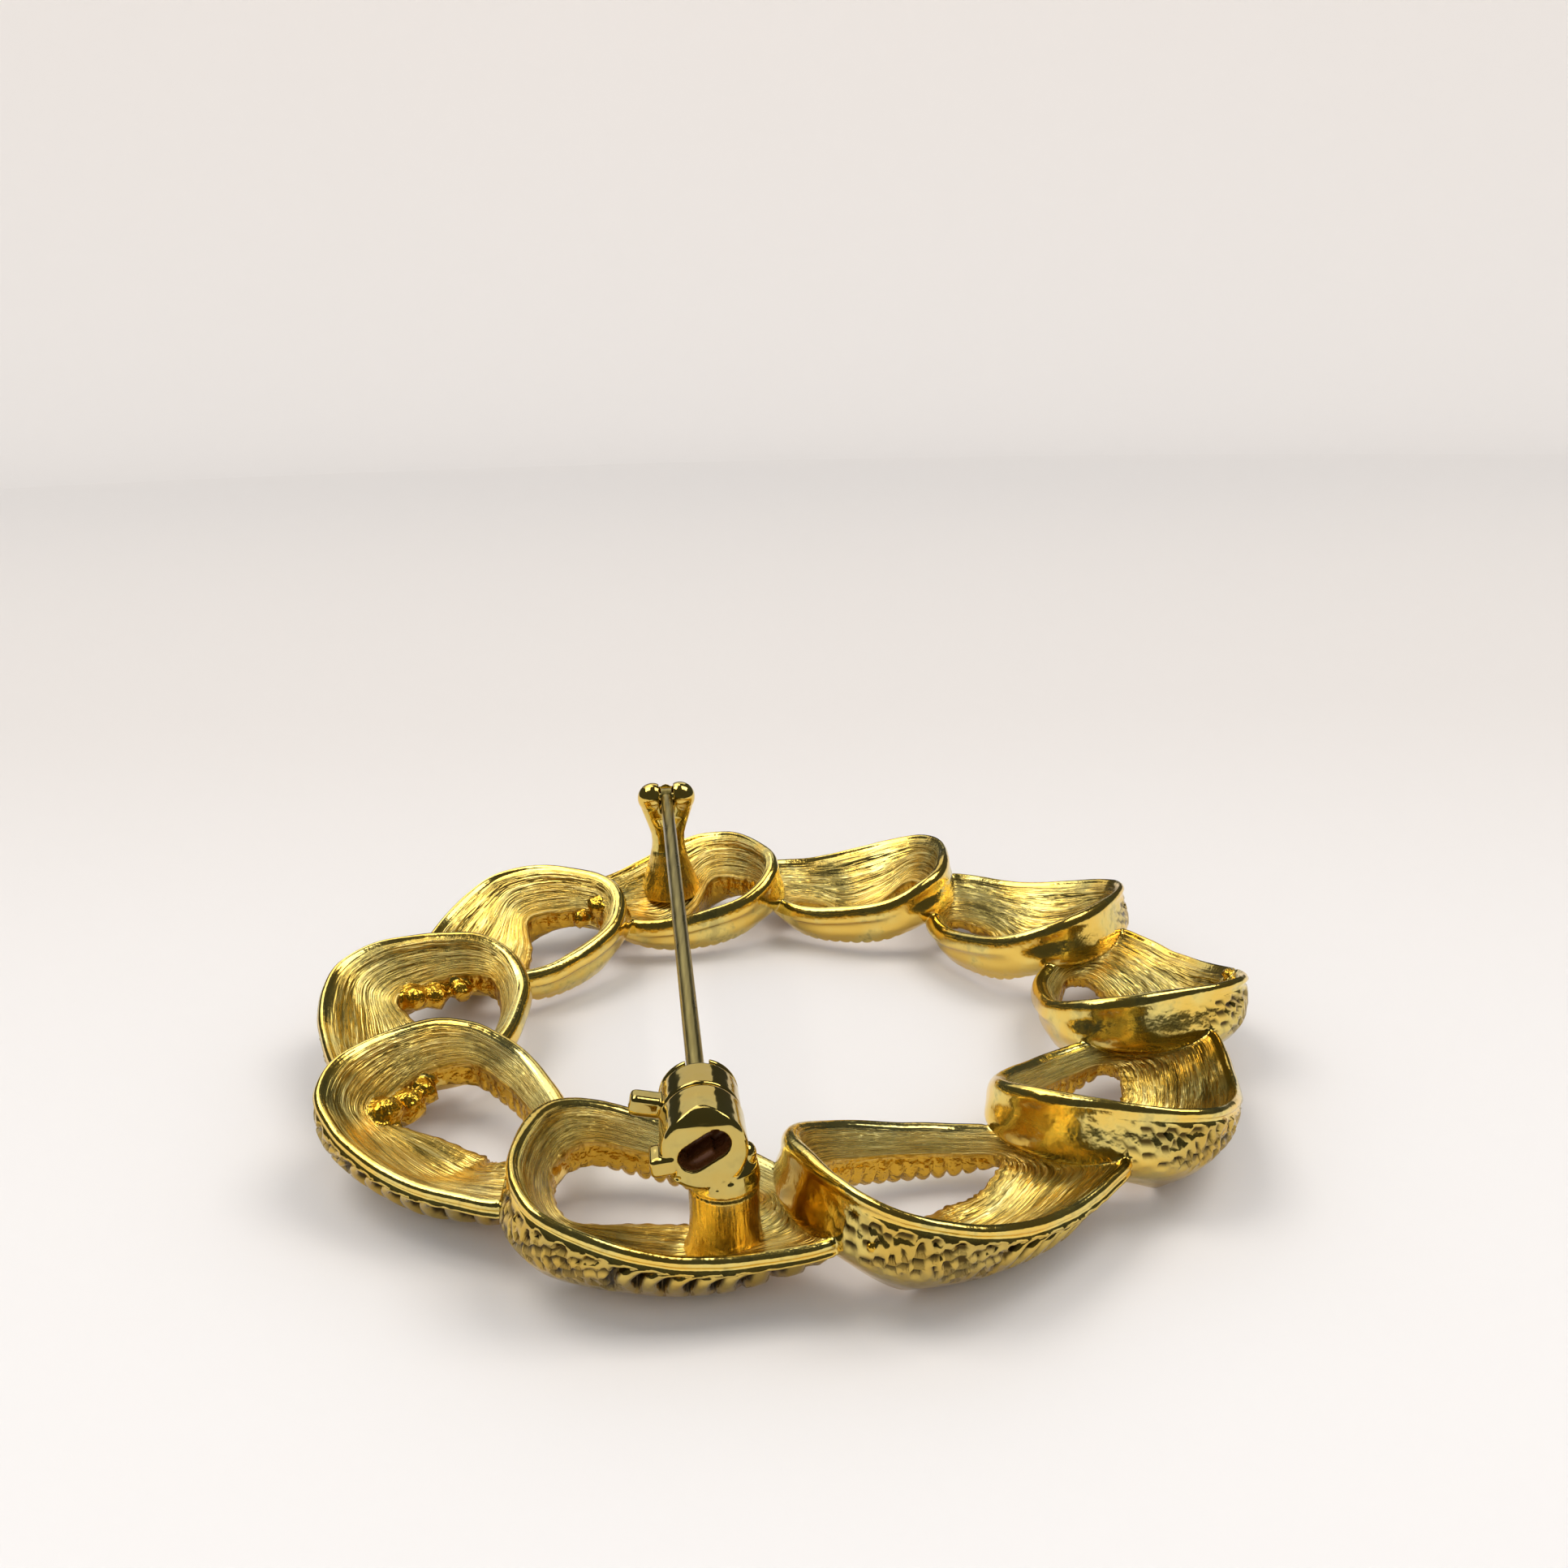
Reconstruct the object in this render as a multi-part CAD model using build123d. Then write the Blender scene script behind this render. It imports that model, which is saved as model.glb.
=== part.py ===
from build123d import *
from collections import namedtuple
from math import cos, pi, radians, sin
import os

# Wreath brooch lying face down, back up. Millimetres, +Z up from the floor that it lies on, origin on
# the ring's own axis. The ring is one casting of ten overlapping hollow loops, with a pin stem on its back.

# Ring of loops
loop_count = 10
first_loop_angle = -106.7      # the loop that carries the catch
ring_radius = 19.05            # middle of the band
band_width = 10.3
ring_depth = 5.55              # floor to the highest rim
bead_radius = 0.28             # polished line along each rim
gadroon_depth = 0.24           # slanting ribs of the outer flank
scallop_depth = 0.2            # small lobes inside each slot
flank_bulge = 0.16             # swelling of the front, as a share of its width
under_inset = 0.06             # lower edge of the slot's wall, as a share of the way to the rim
root_height = 1.65             # floor to the foot of a post, inside the metal of a loop

# Pin stem and hinge
pin_diameter = 0.78
pin_point_length = 3.0
hinge_offset = 2.95            # middle of the band out to the rivet
hinge_angle = 109.6
hinge_height = 8.35            # floor to rivet
ear_radius = 1.0
ear_spread = 0.9               # pin's middle to an ear's middle
rivet_diameter = 0.56
eye_radius = 0.6
eye_thickness = 0.68           # the stem's end is hammered a little flat
neck_radius = 1.08             # narrowest part of the hinge's post
neck_drop = 3.0                # rivet down to it

# Catch
catch_offset = 0.35            # middle of the band out to the middle of the catch
catch_angle = -99.2
catch_height = 6.7             # floor to the drum's axis
drum_radius = 1.7
drum_rounding = 0.25
brow_radius = 0.8              # of the drum's outer upper edge
drum_length = 2.4
recess_length = 2.2            # oblique recess in the drum's end
recess_width = 1.2
recess_depth = 1.5
recess_tilt = 32
sleeve_length = 1.65
sleeve_wall = 0.5
end_lip_length = 0.3
sleeve_inset = 0.06            # the sleeve's outside stands this far below the drum's
tab_reach = 2.85               # catch's axis to the tab's end
tab_width = 0.9
tab_thickness = 0.9
tab_sag = 0.12                 # its middle below the sleeve's axis line
tab_rounding = 0.2
tab_rise = 13                  # degrees above level at rest
mouth_turn = 100               # degrees from straight up to the sleeve's mouth at rest
stump_radius = 1.42
stump_shift = 0.75             # stump's middle to the drum's middle, across the pin
stump_overhang = 0.12          # stump's front past the drum's end
nub_radius = 0.42
nub_drop = 0.95                # catch's axis down to both nubs
left_nub_reach = 1.4
right_nub_reach = 1.65

running_gap = 0.05             # round the rivet and between sleeve and core
side_gap = 0.08                # beside the eye, the pin and the sleeve's ends

# One loop, read round its oval from the clockwise end over the outer strand to the narrow tip and back
# along the inner strand. Along is in shares of a loop's share of the ring, out of the band width from its
# middle, up, lip, keel_up and drop of the ring's depth, flare of the band width. Keel is the lowest line
# of the front, as a share of the way from slot to rim; hollow is the dip of the brushed back, as a share of
# its width. Gadroon and scallop say how strongly the ribs and the lobes show. Steps is the number of
# stations up to the next row.
Row = namedtuple("Row", "rim_along rim_out rim_up slot_along slot_out slot_up lip keel keel_up flare drop "
                        "hollow gadroon scallop steps")
loop_table = [
    Row(-0.464, -0.131, 0.955, -0.388, -0.115, 0.541, 0.180, 0.80, 0.340, 0.068, 0.470, 0.06, 0.0, 0.0, 2),
    Row(-0.393, 0.248, 0.964, -0.326, 0.073, 0.495, 0.200, 0.50, 0.230, 0.075, 0.420, 0.07, 0.3, 0.0, 3),
    Row(-0.242, 0.451, 0.900, -0.209, 0.180, 0.440, 0.190, 0.22, 0.070, 0.030, 0.380, 0.10, 0.6, 0.0, 3),
    Row(-0.050, 0.490, 0.784, -0.072, 0.010, 0.265, 0.120, 0.36, 0.008, 0.012, 0.315, 0.15, 0.8, 0.0, 5),
    Row(0.150, 0.447, 0.658, 0.092, -0.107, 0.180, 0.090, 0.50, 0.000, 0.000, 0.260, 0.15, 1.0, 0.0, 5),
    Row(0.351, 0.354, 0.577, 0.192, -0.083, 0.250, 0.110, 0.50, 0.020, -0.005, 0.220, 0.11, 1.0, 0.0, 5),
    Row(0.535, 0.248, 0.577, 0.267, -0.121, 0.310, 0.120, 0.55, 0.090, -0.010, 0.170, 0.08, 0.9, 0.0, 4),
    Row(0.685, 0.121, 0.586, 0.326, -0.170, 0.342, 0.110, 0.68, 0.210, -0.010, 0.130, 0.06, 0.5, 0.0, 2),
    Row(0.635, -0.073, 0.568, 0.351, -0.218, 0.342, 0.110, 0.60, 0.270, -0.010, 0.100, 0.06, 0.0, 0.0, 2),
    Row(0.443, -0.306, 0.514, 0.335, -0.277, 0.333, 0.120, 0.50, 0.200, 0.005, 0.135, 0.05, 0.0, 0.6, 3),
    Row(0.251, -0.442, 0.495, 0.209, -0.340, 0.333, 0.160, 0.50, 0.108, 0.012, 0.190, 0.05, 0.0, 1.0, 5),
    Row(0.025, -0.495, 0.559, 0.033, -0.379, 0.369, 0.190, 0.52, 0.100, 0.010, 0.216, 0.05, 0.0, 1.0, 5),
    Row(-0.217, -0.495, 0.676, -0.167, -0.374, 0.440, 0.200, 0.50, 0.160, 0.012, 0.243, 0.05, 0.0, 1.0, 3),
    Row(-0.401, -0.364, 0.856, -0.338, -0.296, 0.540, 0.200, 0.60, 0.300, 0.068, 0.350, 0.05, 0.0, 0.0, 1),
]

loop_share = 2 * pi * ring_radius / loop_count
loop_turn = 360 / loop_count


def between(row, part):
    """The table's values a part of the way from one row to the next, on a smooth closed curve."""
    a, b, c, d = (loop_table[(row + k) % len(loop_table)] for k in (-1, 0, 1, 2))
    return Row(*(
        q + part / 2 * (r - p + part * (2 * p - 5 * q + 4 * r - s + part * (3 * (q - r) + s - p)))
        for p, q, r, s in zip(a, b, c, d)
    ))


def section(row, rib):
    """Twelve points round the strand of a loop; rib is 1 on a raised rib and -1 between two ribs."""
    rim = Vector(-row.rim_along * loop_share, ring_radius + row.rim_out * band_width, row.rim_up * ring_depth)
    slot = Vector(-row.slot_along * loop_share, ring_radius + row.slot_out * band_width,
                  row.slot_up * ring_depth)
    up = Vector(0, 0, 1)
    across = rim - slot
    across = Vector(across.X, across.Y, 0)
    out = across.normalized()
    keel = slot + across * row.keel
    keel = Vector(keel.X, keel.Y, max(row.keel_up, 0) * ring_depth)
    belly = rim + out * (row.flare * band_width) - up * (row.drop * ring_depth)
    under = slot + across * under_inset - up * (row.lip * ring_depth)
    rib_height = rib * row.gadroon * gadroon_depth
    lobe = -out * (rib * row.scallop * scallop_depth)
    front = keel - belly
    normal = (out * -front.Z + up * (front.X * out.X + front.Y * out.Y)).normalized() * -1
    if normal.Z > 0:
        normal = normal * -1
    bulge = front.length * flank_bulge
    rim_in = rim - out * bead_radius - up * bead_radius
    back = rim_in - slot
    hollow = back.length * row.hollow
    return [
        rim,
        rim + out * bead_radius - up * bead_radius,
        rim + out * (bead_radius * 0.3) - up * (bead_radius * 2.4),
        belly + out * rib_height * 0.6,
        belly + front * 0.4 + normal * (bulge + rib_height),
        belly + front * 0.75 + normal * (bulge * 0.6 - rib_height * 0.5),
        keel,
        under + lobe,
        slot + lobe * 0.5,
        slot + back * 0.35 - up * hollow,
        slot + back * 0.75 - up * hollow * 0.7,
        rim_in,
    ]


def loop_stations():
    """The sections in order round the loop, with ribs that rise at every other station."""
    sections = []
    for number, row in enumerate(loop_table):
        for step in range(row.steps):
            rib = 1 if len(sections) % 2 else -1
            sections.append(section(between(number, step / row.steps), rib))
    return sections


def loop_solid():
    """One loop as a closed faceted solid on the +Y side of the ring."""
    rings = loop_stations()
    faces = []
    for this, following in zip(rings, rings[1:] + rings[:1]):
        for k in range(len(this)):
            j = (k + 1) % len(this)
            faces.append(Face(Wire.make_polygon([this[k], this[j], following[j]])))
            faces.append(Face(Wire.make_polygon([this[k], following[j], following[k]])))
    solid = Solid(Shell(faces))
    return solid if solid.volume > 0 else -solid


def on_ring(radius, angle, height):
    return Vector(radius * cos(radians(angle)), radius * sin(radians(angle)), height)


hinge_point = on_ring(ring_radius + hinge_offset, hinge_angle, hinge_height)
catch_point = on_ring(ring_radius + catch_offset, catch_angle, catch_height)
pin_line = (catch_point - hinge_point).normalized()
pin_across = pin_line.cross(Vector(0, 0, 1)).normalized()
pin_up = pin_across.cross(pin_line)
catch_distance = (catch_point - hinge_point).length

# Two places share the pin's directions: x across the pin, y from rivet to catch, z up off the back.
hinge_place = Plane(origin=hinge_point, x_dir=pin_across, z_dir=pin_up)
catch_place = Plane(origin=catch_point, x_dir=pin_across, z_dir=pin_up)


def rod(radius, start, end):
    """A round bar along local y."""
    return Pos(0, (start + end) / 2, 0) * Rot(90, 0, 0) * Cylinder(radius, end - start)


def bar_across(radius, half_length):
    return Rot(0, 90, 0) * Cylinder(radius, 2 * half_length)


def turned(outline):
    """A post turned about z from (radius, height) pairs."""
    base, top = outline[0][1], outline[-1][1]
    edge = Spline(*outline)
    face = make_face([edge, Line(outline[-1], (0, top)), Line((0, top), (0, base)), Line((0, base), outline[0])])
    return revolve(Plane.XZ * face, Axis.Z)


def hinge_ears():
    """The two round ears on their flared post, with the slot that the eye turns in."""
    head = bar_across(ear_radius, ear_spread)
    for side in (-1, 1):
        head += Pos(side * ear_spread, 0, 0) * Sphere(ear_radius)
    shoulder = loft([
        Pos(0, 0, -ear_radius * 0.3) * Ellipse(ear_spread + 0.93 * ear_radius, 0.92 * ear_radius),
        Pos(0, 0, -neck_drop * 0.6) * Ellipse(1.22 * neck_radius, 0.95 * neck_radius),
        Pos(0, 0, -neck_drop) * Ellipse(neck_radius, neck_radius),
    ])
    foot = root_height - hinge_height
    post = turned([
        (neck_radius * 2.0, foot),
        (neck_radius * 1.62, foot * 0.82),
        (neck_radius * 1.2, foot * 0.64),
        (neck_radius, -neck_drop),
    ])
    slot_foot = -eye_radius - 2 * side_gap
    slot_top = 1.5 * ear_radius
    slot_back = -eye_radius - side_gap
    slot_front = 2 * ear_radius
    slot = Pos(0, (slot_back + slot_front) / 2, (slot_foot + slot_top) / 2) * Box(
        pin_diameter + 2 * side_gap, slot_front - slot_back, slot_top - slot_foot)
    return head + shoulder + post - slot - bar_across(rivet_diameter / 2, ear_spread + 2 * ear_radius)


def hinge_rivet():
    return bar_across(rivet_diameter / 2, ear_spread + 0.8 * ear_radius)


def pin_stem():
    """The straight stem, its flat eye round the rivet and its ground point."""
    tip = catch_distance + sleeve_end - 3 * side_gap
    stem = rod(pin_diameter / 2, eye_radius * 0.5, tip - pin_point_length)
    point = Pos(0, tip - pin_point_length / 2, 0) * Rot(-90, 0, 0) * Cone(
        pin_diameter / 2, pin_diameter * 0.2, pin_point_length)
    eye = bar_across(eye_radius, eye_thickness / 2)
    return stem + point + eye - bar_across(rivet_diameter / 2 + running_gap, pin_diameter)


# Along the catch, from the hinge side: end lip, turning sleeve, then the fixed drum towards the outside.
catch_length = end_lip_length + sleeve_length + drum_length + 2 * side_gap
sleeve_start = -catch_length / 2 + end_lip_length + side_gap
sleeve_end = sleeve_start + sleeve_length
drum_start = sleeve_end + side_gap
drum_end = drum_start + drum_length
sleeve_outer = drum_radius - sleeve_inset
core_radius = sleeve_outer - sleeve_wall - running_gap
mouth_half = pin_diameter / 2 + side_gap


def pin_channel(radius, start, end):
    """The room for the pin: a round bottom on the axis, open upwards."""
    return rod(radius, start, end) + Pos(0, (start + end) / 2, drum_radius) * Box(
        2 * radius, end - start, 2 * drum_radius)


def nub(reach):
    """A short lug with a round end beside the drum; reach is counted across the pin."""
    return Pos(reach / 2, 0, -nub_drop) * bar_across(nub_radius, abs(reach) / 2) + (
        Pos(reach, 0, -nub_drop) * Sphere(nub_radius))


def catch_housing():
    """The fixed part of the catch on its stump: drum, slotted core, end lip and two nubs."""
    drum = rod(drum_radius, drum_start, drum_end)
    drum = fillet(drum.edges().filter_by(GeomType.CIRCLE), drum_rounding)
    brow = Box(3 * drum_radius, 2 * drum_length, 2 * drum_radius)
    brow = fillet(brow.edges().filter_by(Axis.X).sort_by(Axis.Y)[-2:].sort_by(Axis.Z)[-1], brow_radius)
    drum &= Pos(0, drum_end - drum_length, 0) * brow
    recess = extrude(Plane.XZ * Rot(0, 0, -recess_tilt) * SlotOverall(recess_length, recess_width), recess_depth,
                     both=True)
    core = rod(core_radius, sleeve_start - side_gap - end_lip_length, drum_start + drum_rounding)
    lip = rod(sleeve_outer, sleeve_start - side_gap - end_lip_length, sleeve_start - side_gap)
    foot = root_height - catch_height
    stump = Pos(-stump_shift, drum_end + stump_overhang - stump_radius, 0) * turned([
        (stump_radius * 1.3, foot),
        (stump_radius * 1.08, foot * 0.84),
        (stump_radius, foot * 0.62),
        (stump_radius * 0.98, foot * 0.38),
        (stump_radius * 0.8, foot * 0.2),
        (stump_radius * 0.4, foot * 0.05),
    ])
    stump -= rod(drum_radius + side_gap, sleeve_start, drum_start)
    middle = (drum_start + drum_end) / 2
    nubs = Pos(0, middle, 0) * nub(left_nub_reach) + Pos(0, middle, 0) * nub(-right_nub_reach)
    channel = pin_channel(mouth_half, sleeve_start - end_lip_length - 1, drum_start)
    return (core + lip - channel) + (drum + nubs + stump - Pos(0, drum_end, 0) * recess)


def catch_roller():
    """The turning sleeve with its thumb tab; at rest its mouth is turned away and the pin is locked in."""
    sleeve = rod(sleeve_outer, sleeve_start, sleeve_end)
    sleeve -= rod(core_radius + running_gap, sleeve_start - 1, sleeve_end + 1)
    tab_root = sleeve_outer - sleeve_wall / 2
    tab = Box(tab_reach - tab_root, tab_width, tab_thickness)
    tab = fillet(tab.faces().sort_by(Axis.X)[-1].edges(), tab_rounding)
    tab = Rot(0, -tab_rise, 0) * Pos(
        (tab_root + tab_reach) / 2, (sleeve_start + sleeve_end) / 2, -tab_sag) * tab
    mouth = Rot(0, -mouth_turn, 0) * pin_channel(mouth_half, sleeve_start - 1, sleeve_end + 1)
    return sleeve + tab - mouth


def wreath():
    """The whole casting: ten loops, the hinge post and the catch's fixed part."""
    first = Rot(0, 0, first_loop_angle - 90) * loop_solid()
    loops = [Rot(0, 0, loop_turn * k) * first for k in range(loop_count)]
    casting = loops[0].fuse(*loops[1:], hinge_place * hinge_ears(), catch_place * catch_housing())
    return casting


pieces = {
    "wreath": wreath(),
    "hinge_rivet": hinge_place * hinge_rivet(),
    "pin_stem": hinge_place * pin_stem(),
    "catch_roller": catch_place * catch_roller(),
}

os.makedirs("parts", exist_ok=True)
for name, piece in pieces.items():
    export_step(piece, f"parts/{name}.step")
print("hinge", hinge_point, "across", pin_across, "catch", catch_point, "along", pin_line)
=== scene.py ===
"""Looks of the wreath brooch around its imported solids, in metres. It lies face down with its back up."""
from collections import namedtuple
from math import cos, pi, radians, sin

import bmesh
import bpy
from mathutils import Matrix, Vector, noise


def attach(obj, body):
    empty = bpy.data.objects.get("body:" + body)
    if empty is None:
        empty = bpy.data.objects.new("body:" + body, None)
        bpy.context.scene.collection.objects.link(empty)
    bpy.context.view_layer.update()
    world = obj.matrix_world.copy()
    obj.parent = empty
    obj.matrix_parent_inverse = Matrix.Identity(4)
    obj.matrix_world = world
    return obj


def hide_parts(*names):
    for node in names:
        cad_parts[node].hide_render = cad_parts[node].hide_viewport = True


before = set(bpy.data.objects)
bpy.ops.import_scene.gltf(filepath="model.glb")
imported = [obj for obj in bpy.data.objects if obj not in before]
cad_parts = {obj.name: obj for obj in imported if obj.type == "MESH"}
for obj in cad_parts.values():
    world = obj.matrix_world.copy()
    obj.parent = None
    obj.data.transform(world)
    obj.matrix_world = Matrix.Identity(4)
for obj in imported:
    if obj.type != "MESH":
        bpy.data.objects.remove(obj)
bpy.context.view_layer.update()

# Casting. The ring is one casting of ten hollow loops that lap over each other. Each loop is a strand with a
# polished bead along its rims, a brushed dished back, slanting ribs and lozenges cut in the outer flank, and
# small lobes inside its slot. The table is the solid's own: shares of the loop's length, width and depth.
mm = 0.001
loop_count = 10
first_loop_angle = radians(-106.7)
ring_radius = 19.05
band_width = 10.3
ring_depth = 5.55
bead_radius = 0.28
loop_share = 2 * pi * ring_radius / loop_count

Row = namedtuple("Row", "rim_along rim_out rim_up slot_along slot_out slot_up lip keel keel_up flare drop "
                        "hollow gadroon scallop")
loop_table = [
    Row(-0.464, -0.131, 0.955, -0.388, -0.115, 0.541, 0.180, 0.80, 0.340, 0.068, 0.470, 0.06, 0.0, 0.0),
    Row(-0.393, 0.248, 0.964, -0.326, 0.073, 0.495, 0.200, 0.50, 0.230, 0.075, 0.420, 0.07, 0.3, 0.0),
    Row(-0.242, 0.451, 0.900, -0.209, 0.180, 0.440, 0.190, 0.22, 0.070, 0.030, 0.380, 0.10, 0.6, 0.0),
    Row(-0.050, 0.490, 0.784, -0.072, 0.010, 0.265, 0.120, 0.36, 0.008, 0.012, 0.315, 0.15, 0.8, 0.0),
    Row(0.150, 0.447, 0.658, 0.092, -0.107, 0.180, 0.090, 0.50, 0.000, 0.000, 0.260, 0.15, 1.0, 0.0),
    Row(0.351, 0.354, 0.577, 0.192, -0.083, 0.250, 0.110, 0.50, 0.020, -0.005, 0.220, 0.11, 1.0, 0.0),
    Row(0.535, 0.248, 0.577, 0.267, -0.121, 0.310, 0.120, 0.55, 0.090, -0.010, 0.170, 0.08, 0.9, 0.0),
    Row(0.685, 0.121, 0.586, 0.326, -0.170, 0.342, 0.110, 0.68, 0.210, -0.010, 0.130, 0.06, 0.5, 0.0),
    Row(0.635, -0.073, 0.568, 0.351, -0.218, 0.342, 0.110, 0.60, 0.270, -0.010, 0.100, 0.06, 0.0, 0.0),
    Row(0.443, -0.306, 0.514, 0.335, -0.277, 0.333, 0.120, 0.50, 0.200, 0.005, 0.135, 0.05, 0.0, 0.6),
    Row(0.251, -0.442, 0.495, 0.209, -0.340, 0.333, 0.160, 0.50, 0.108, 0.012, 0.190, 0.05, 0.0, 1.0),
    Row(0.025, -0.495, 0.559, 0.033, -0.379, 0.369, 0.190, 0.52, 0.100, 0.010, 0.216, 0.05, 0.0, 1.0),
    Row(-0.217, -0.495, 0.676, -0.167, -0.374, 0.440, 0.200, 0.50, 0.160, 0.012, 0.243, 0.05, 0.0, 1.0),
    Row(-0.401, -0.364, 0.856, -0.338, -0.296, 0.540, 0.200, 0.60, 0.300, 0.068, 0.350, 0.05, 0.0, 0.0),
]


def between(turn):
    """The table's values at a place counted in rows, on a smooth closed curve."""
    number = int(turn // 1)
    part = turn - number
    a, b, c, d = (loop_table[(number + k) % len(loop_table)] for k in (-1, 0, 1, 2))
    return Row(*(
        q + part / 2 * (r - p + part * (2 * p - 5 * q + 4 * r - s + part * (3 * (q - r) + s - p)))
        for p, q, r, s in zip(a, b, c, d)
    ))


def strand_corners(turn):
    """Thirteen points round the strand at a place, and the two ways that its flank faces."""
    row = between(turn)
    rim = Vector((-row.rim_along * loop_share, ring_radius + row.rim_out * band_width,
                  row.rim_up * ring_depth))
    slot = Vector((-row.slot_along * loop_share, ring_radius + row.slot_out * band_width,
                   row.slot_up * ring_depth))
    up = Vector((0, 0, 1))
    across = Vector((rim.x - slot.x, rim.y - slot.y, 0))
    out = across.normalized()
    keel = slot + across * row.keel
    keel.z = max(row.keel_up, 0) * ring_depth
    belly = rim + out * (row.flare * band_width) - up * (row.drop * ring_depth)
    under = slot + across * 0.06 - up * (row.lip * ring_depth)
    front = keel - belly
    facing = -(out * -front.z + up * front.dot(out)).normalized()
    if facing.z > 0:
        facing.negate()
    bulge = front.length * 0.1
    sharp = min(max(row.gadroon * 1.5, 0), 1)     # only the outer side has a groove under its rim
    rim_in = (rim - out * (bead_radius * (1.5 - 0.5 * sharp))
              - up * (bead_radius * (0.5 + 0.5 * sharp)))
    back = rim_in - slot
    hollow = back.length * row.hollow
    return [
        rim,
        rim + out * bead_radius - up * bead_radius,
        rim + out * (bead_radius * (1.25 - sharp)) - up * (bead_radius * 1.9),
        rim + out * (bead_radius * (1.35 - 0.5 * sharp)) - up * (bead_radius * (3.1 - 0.55 * sharp)),
        belly,
        belly + front * 0.4 + facing * bulge,
        belly + front * 0.75 + facing * (bulge * 0.6),
        keel,
        under,
        slot,
        slot + back * 0.35 - up * hollow,
        slot + back * 0.75 - up * (hollow * 0.7),
        rim_in,
    ], out, facing


rim_corner, collar, keel_corner, under_corner, slot_corner = 0, 3, 7, 8, 9
corner_samples = [2, 2, 2, 6, 5, 4, 3, 3, 3, 4, 4, 3, 2]     # points from each corner to the next
corner_count = len(corner_samples)
rib_pitch, wedge_depth, land_height = 1.1, 0.5, 0.07
rib_phases = (0, 0.08, 0.17, 0.3, 0.5, 0.7, 0.83, 0.92)     # stations crowd round each groove
rib_slant, row_length = 0.5, 2.4     # a slant in rows, and about how many millimetres a row is
lozenge_length, lozenge_height, pit_depth = 1.1, 0.62, 0.34
lobe_pitch, lobe_stations, lobe_height = 0.65, 5, 0.26
grit_height, nodule_height, wave_height = 0.11, 0.34, 0.05
fit_x, fit_y = 0.9985, 0.999     # these shares keep the relief inside the solid's box
tip_inside, lobes_start, lobes_end, ribs_start, ribs_end = 7.5, 9, 13, 15, 21.3     # places in rows


def on_strand(turn, place):
    """A point of the smooth closed curve round the strand; place is counted in corners."""
    corners, out, facing = strand_corners(turn)
    number = int(place)
    part = place - number
    p, q, r, s = (corners[(number + k) % corner_count] for k in (-1, 0, 1, 2))
    before, here, after = ((b - a).length ** 0.5 + 1e-6 for a, b in ((p, q), (q, r), (r, s)))
    leave = ((r - q) / here - (r - p) / (here + before) + (q - p) / before) * here
    arrive = ((s - r) / after - (s - q) / (after + here) + (r - q) / here) * here
    double, triple = part * part, part ** 3
    point = (q * (2 * triple - 3 * double + 1) + leave * (triple - 2 * double + part)
             + r * (3 * double - 2 * triple) + arrive * (triple - double))
    return point, out, facing


def walk(start, stop, corner, spacing):
    """Places from start to stop that are evenly spaced along one corner's line."""
    fine = [start + (stop - start) * k / 160 for k in range(161)]
    points = [strand_corners(turn)[0][corner] for turn in fine]
    lengths = [0.0]
    for a, b in zip(points, points[1:]):
        lengths.append(lengths[-1] + (b - a).length)
    count = max(2, round(lengths[-1] / spacing))
    places, k = [], 0
    for step in range(count):
        aim = lengths[-1] * step / count
        while lengths[k + 1] < aim:
            k += 1
        share = (aim - lengths[k]) / (lengths[k + 1] - lengths[k])
        places.append(fine[k] + share * (fine[k + 1] - fine[k]))
    return places + [stop]


def ramp(low, high, value):
    share = min(max((value - low) / (high - low), 0), 1)
    return share * share * (3 - 2 * share)


def station_list():
    """Every station as (place in rows, rib phase, lobe phase), once round from inside the narrow tip."""
    rows = len(loop_table)
    stations = [(turn, 0, 0) for turn in walk(tip_inside, lobes_start, rim_corner, spacing=0.34)[:-1]]
    lobes = walk(lobes_start, lobes_end, under_corner, lobe_pitch / lobe_stations)[:-1]
    stations += [(turn, 0, k / lobe_stations) for k, turn in enumerate(lobes)]
    stations += [(turn, 0, 0) for turn in walk(lobes_end, ribs_start, rim_corner, spacing=0.26)[:-1]]
    ribs = walk(ribs_start, ribs_end, collar, rib_pitch)
    for k, (a, b) in enumerate(zip(ribs, ribs[1:])):
        stations += [(a + (b - a) * phase, k + phase, 0) for phase in rib_phases]
    stations += [(turn, 0, 0) for turn in walk(ribs_end, tip_inside + rows, rim_corner, spacing=0.3)[:-1]]
    return stations


def flank_lift(row, turn, fall, along, rib_phase):
    """The outer flank's pattern: wedge cuts that run out to a point, and pits where the loop is widest."""
    ribs = ramp(3.0, 3.8, turn % len(loop_table))
    from_groove = min(rib_phase % 1, 1 - rib_phase % 1)
    left = 1 - ramp(1.0, 2.9, fall)
    opening = 1 - ramp(0.03, 0.06 + 0.34 * left, from_groove)
    wedge = -wedge_depth * opening * ramp(0.74, 0.9, fall) * min(left * 2.5, 1)
    land = land_height * sin(pi * (rib_phase % 1)) * ramp(0.8, 1.3, fall) * (1 - ramp(1.6, 3.0, fall))
    bend = 0.25 * noise.noise(Vector((along * 0.9, fall * 0.9, 5.3)))
    across, down = along / lozenge_length, fall / lozenge_height
    lozenge = abs(cos(pi * (across + down + bend)) * cos(pi * (across - down + bend)))
    pit = -pit_depth * ramp(0.3, 0.8, lozenge) * ramp(0.72, 0.95, fall) * (1 - ramp(2.3, 3.0, fall))
    return (ribs * (wedge + land) + (1 - ribs) * pit) * min(row.gadroon * 2.2, 1)


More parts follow.
